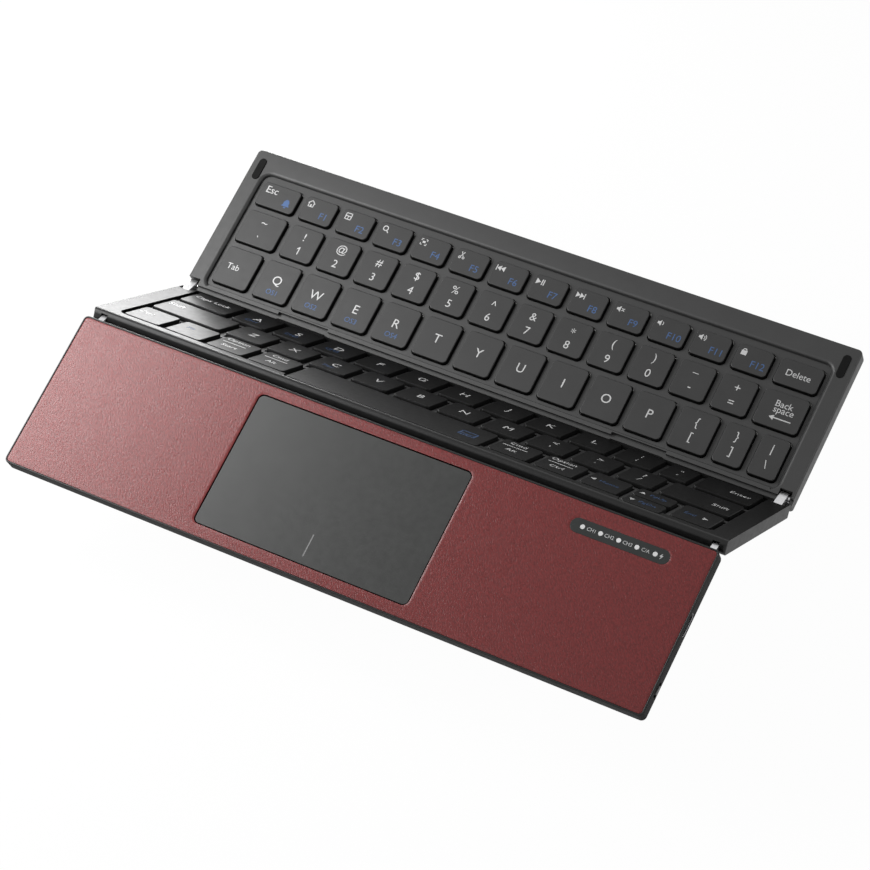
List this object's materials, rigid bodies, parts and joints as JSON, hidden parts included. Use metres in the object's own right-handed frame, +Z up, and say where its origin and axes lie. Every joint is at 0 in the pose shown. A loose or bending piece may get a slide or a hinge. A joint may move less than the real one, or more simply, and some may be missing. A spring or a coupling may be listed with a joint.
{
  "type": "folding keyboard",
  "caption": "Slim keyboard in three hinged panels that folds like a letter Z, with two key panels, a touchpad panel in red leather and metal corner links.",
  "frame": {"origin": "middle of the overall box on the table plane, in the standing zigzag pose", "axes": "+X along the keyboard's width to the user's right, +Y to the rear row of keys, +Z up"},
  "size_m": [0.2564, 0.1758, 0.0339],
  "materials": {
    "casing_plastic": "fine matte, slightly sheened",
    "key_plastic": "satin with a soft sheen",
    "leather": "fine-grained, oxblood red",
    "hinge_metal": "satin zinc alloy",
    "pin_steel": "turned",
    "plate_steel": "stamped sheet",
    "magnet_nickel": "nickel plated",
    "membrane_film": "printed film",
    "dome_silicone": "translucent white",
    "rubber": "matte",
    "pad_surface": "very smooth matte",
    "circuit_board": "solder mask",
    "battery_foil": "foil pouch",
    "light_white": "clear light guide",
    "window_gloss": "smoked, satin",
    "port_steel": "drawn shell",
    "switch_plastic": "satin black"
  },
  "bodies": {
    "mid_panel": {"mid_cover": "casing_plastic", "mid_frame": "casing_plastic", "mid_deck": "casing_plastic", "mid_plate": "plate_steel", "mid_membrane": "membrane_film", "mid_domes": "dome_silicone", "mid_rear_pins": "pin_steel", "mid_front_pins": "pin_steel"},
    "rear_links": {"rear_link_left_arm": "hinge_metal", "rear_link_right_arm": "hinge_metal"},
    "rear_panel": {"rear_cover": "casing_plastic", "rear_bezel": "casing_plastic", "rear_deck": "casing_plastic", "rear_plate": "plate_steel", "rear_membrane": "membrane_film", "rear_domes": "dome_silicone", "rear_leather": "leather", "rear_bumpers": "rubber", "rear_feet": "rubber", "rear_magnets": "magnet_nickel", "rear_pins": "pin_steel"},
    "front_links": {"front_link_left_arm": "hinge_metal", "front_link_right_arm": "hinge_metal"},
    "front_panel": {"front_base": "casing_plastic", "front_frame": "casing_plastic", "front_leather": "leather", "front_pins": "pin_steel", "front_feet": "rubber", "front_screws": "pin_steel", "battery": "battery_foil", "main_board": "circuit_board", "status_lights": "light_white", "status_window": "window_gloss", "charging_port": "port_steel"},
    "touchpad_plate": {"touchpad": "pad_surface", "touchpad_board": "circuit_board"},
    "power_slider": {"power_switch": "switch_plastic"},
    "key_escape_body": {"key_escape": "key_plastic"},
    "keys_function_body": {"keys_function": "key_plastic"},
    "key_delete_body": {"key_delete": "key_plastic"},
    "keys_number_body": {"keys_number": "key_plastic"},
    "key_backspace_body": {"key_backspace": "key_plastic"},
    "key_tab_body": {"key_tab": "key_plastic"},
    "keys_top_letters_body": {"keys_top_letters": "key_plastic"},
    "key_caps_lock_body": {"key_caps_lock": "key_plastic"},
    "keys_home_letters_body": {"keys_home_letters": "key_plastic"},
    "key_enter_body": {"key_enter": "key_plastic"},
    "key_left_shift_body": {"key_left_shift": "key_plastic"},
    "keys_lower_letters_body": {"keys_lower_letters": "key_plastic"},
    "key_right_shift_body": {"key_right_shift": "key_plastic"},
    "key_control_body": {"key_control": "key_plastic"},
    "key_function_shift_body": {"key_function_shift": "key_plastic"},
    "keys_modifier_body": {"keys_modifier": "key_plastic"},
    "key_space_body": {"key_space": "key_plastic"},
    "key_arrow_left_body": {"key_arrow_left": "key_plastic"},
    "key_arrow_up_body": {"key_arrow_up": "key_plastic"},
    "key_arrow_down_body": {"key_arrow_down": "key_plastic"},
    "key_arrow_right_body": {"key_arrow_right": "key_plastic"}
  },
  "joints": [
    {"name": "rear_fold_on_middle", "type": "hinge", "parent": "mid_panel", "child": "rear_links", "pos_m": [-0.0002, 0.02486, 0.00391], "axis": [1, 0, 0], "range_deg": [-26.5, 63.5]},
    {"name": "rear_fold_on_rear", "type": "hinge", "parent": "rear_links", "child": "rear_panel", "pos_m": [-0.0002, 0.03146, 0.00391], "axis": [1, 0, 0], "range_deg": [-26.5, 63.5]},
    {"name": "front_fold_on_middle", "type": "hinge", "parent": "mid_panel", "child": "front_links", "pos_m": [-0.0002, -0.02659, 0.02912], "axis": [1, 0, 0], "range_deg": [-26.76, 63.24]},
    {"name": "front_fold_on_front", "type": "hinge", "parent": "front_links", "child": "front_panel", "pos_m": [-0.0002, -0.03329, 0.02909], "axis": [1, 0, 0], "range_deg": [-26.76, 63.24]},
    {"name": "key_escape_travel", "type": "slide", "parent": "rear_panel", "child": "key_escape_body", "axis": [0, 0.4462, -0.8949], "range_m": [0, 0.0012], "stiffness_N_per_m": 500, "springref_m": -0.0005},
    {"name": "keys_function_travel", "type": "slide", "parent": "rear_panel", "child": "keys_function_body", "axis": [0, 0.4462, -0.8949], "range_m": [0, 0.0012], "stiffness_N_per_m": 6000, "springref_m": -0.0005},
    {"name": "key_delete_travel", "type": "slide", "parent": "rear_panel", "child": "key_delete_body", "axis": [0, 0.4462, -0.8949], "range_m": [0, 0.0012], "stiffness_N_per_m": 500, "springref_m": -0.0005},
    {"name": "keys_number_travel", "type": "slide", "parent": "rear_panel", "child": "keys_number_body", "axis": [0, 0.4462, -0.8949], "range_m": [0, 0.0012], "stiffness_N_per_m": 6500, "springref_m": -0.0005},
    {"name": "key_backspace_travel", "type": "slide", "parent": "rear_panel", "child": "key_backspace_body", "axis": [0, 0.4462, -0.8949], "range_m": [0, 0.0012], "stiffness_N_per_m": 500, "springref_m": -0.0005},
    {"name": "key_tab_travel", "type": "slide", "parent": "rear_panel", "child": "key_tab_body", "axis": [0, 0.4462, -0.8949], "range_m": [0, 0.0012], "stiffness_N_per_m": 500, "springref_m": -0.0005},
    {"name": "keys_top_letters_travel", "type": "slide", "parent": "rear_panel", "child": "keys_top_letters_body", "axis": [0, 0.4462, -0.8949], "range_m": [0, 0.0012], "stiffness_N_per_m": 6500, "springref_m": -0.0005},
    {"name": "key_caps_lock_travel", "type": "slide", "parent": "mid_panel", "child": "key_caps_lock_body", "axis": [0, -0.4462, -0.8949], "range_m": [0, 0.0012], "stiffness_N_per_m": 500, "springref_m": -0.0005},
    {"name": "keys_home_letters_travel", "type": "slide", "parent": "mid_panel", "child": "keys_home_letters_body", "axis": [0, -0.4462, -0.8949], "range_m": [0, 0.0012], "stiffness_N_per_m": 5500, "springref_m": -0.0005},
    {"name": "key_enter_travel", "type": "slide", "parent": "mid_panel", "child": "key_enter_body", "axis": [0, -0.4462, -0.8949], "range_m": [0, 0.0012], "stiffness_N_per_m": 500, "springref_m": -0.0005},
    {"name": "key_left_shift_travel", "type": "slide", "parent": "mid_panel", "child": "key_left_shift_body", "axis": [0, -0.4462, -0.8949], "range_m": [0, 0.0012], "stiffness_N_per_m": 500, "springref_m": -0.0005},
    {"name": "keys_lower_letters_travel", "type": "slide", "parent": "mid_panel", "child": "keys_lower_letters_body", "axis": [0, -0.4462, -0.8949], "range_m": [0, 0.0012], "stiffness_N_per_m": 5000, "springref_m": -0.0005},
    {"name": "key_right_shift_travel", "type": "slide", "parent": "mid_panel", "child": "key_right_shift_body", "axis": [0, -0.4462, -0.8949], "range_m": [0, 0.0012], "stiffness_N_per_m": 500, "springref_m": -0.0005},
    {"name": "key_control_travel", "type": "slide", "parent": "mid_panel", "child": "key_control_body", "axis": [0, -0.4462, -0.8949], "range_m": [0, 0.0012], "stiffness_N_per_m": 500, "springref_m": -0.0005},
    {"name": "key_function_shift_travel", "type": "slide", "parent": "mid_panel", "child": "key_function_shift_body", "axis": [0, -0.4462, -0.8949], "range_m": [0, 0.0012], "stiffness_N_per_m": 500, "springref_m": -0.0005},
    {"name": "keys_modifier_travel", "type": "slide", "parent": "mid_panel", "child": "keys_modifier_body", "axis": [0, -0.4462, -0.8949], "range_m": [0, 0.0012], "stiffness_N_per_m": 2000, "springref_m": -0.0005},
    {"name": "key_space_travel", "type": "slide", "parent": "mid_panel", "child": "key_space_body", "axis": [0, -0.4462, -0.8949], "range_m": [0, 0.0012], "stiffness_N_per_m": 1000, "springref_m": -0.0005},
    {"name": "key_arrow_left_travel", "type": "slide", "parent": "mid_panel", "child": "key_arrow_left_body", "axis": [0, -0.4462, -0.8949], "range_m": [0, 0.0012], "stiffness_N_per_m": 500, "springref_m": -0.0005},
    {"name": "key_arrow_up_travel", "type": "slide", "parent": "mid_panel", "child": "key_arrow_up_body", "axis": [0, -0.4462, -0.8949], "range_m": [0, 0.0012], "stiffness_N_per_m": 500, "springref_m": -0.0005},
    {"name": "key_arrow_down_travel", "type": "slide", "parent": "mid_panel", "child": "key_arrow_down_body", "axis": [0, -0.4462, -0.8949], "range_m": [0, 0.0012], "stiffness_N_per_m": 500, "springref_m": -0.0005},
    {"name": "key_arrow_right_travel", "type": "slide", "parent": "mid_panel", "child": "key_arrow_right_body", "axis": [0, -0.4462, -0.8949], "range_m": [0, 0.0012], "stiffness_N_per_m": 500, "springref_m": -0.0005},
    {"name": "touchpad_click", "type": "hinge", "parent": "front_panel", "child": "touchpad_plate", "pos_m": [-0.0067, -0.03661, 0.03054], "axis": [1, 0, 0], "range_deg": [0, 0.4], "stiffness_Nm_per_rad": 5, "springref_deg": -0.23},
    {"name": "power_switch_slide", "type": "slide", "parent": "front_panel", "child": "power_slider", "axis": [0, 0.8908, 0.4543], "range_m": [-0.001, 0.001]}
  ],
  "couplings": [
    {"joint": "rear_fold_on_rear", "follows": "rear_fold_on_middle", "ratio": 1},
    {"joint": "front_fold_on_front", "follows": "front_fold_on_middle", "ratio": 1}
  ]
}
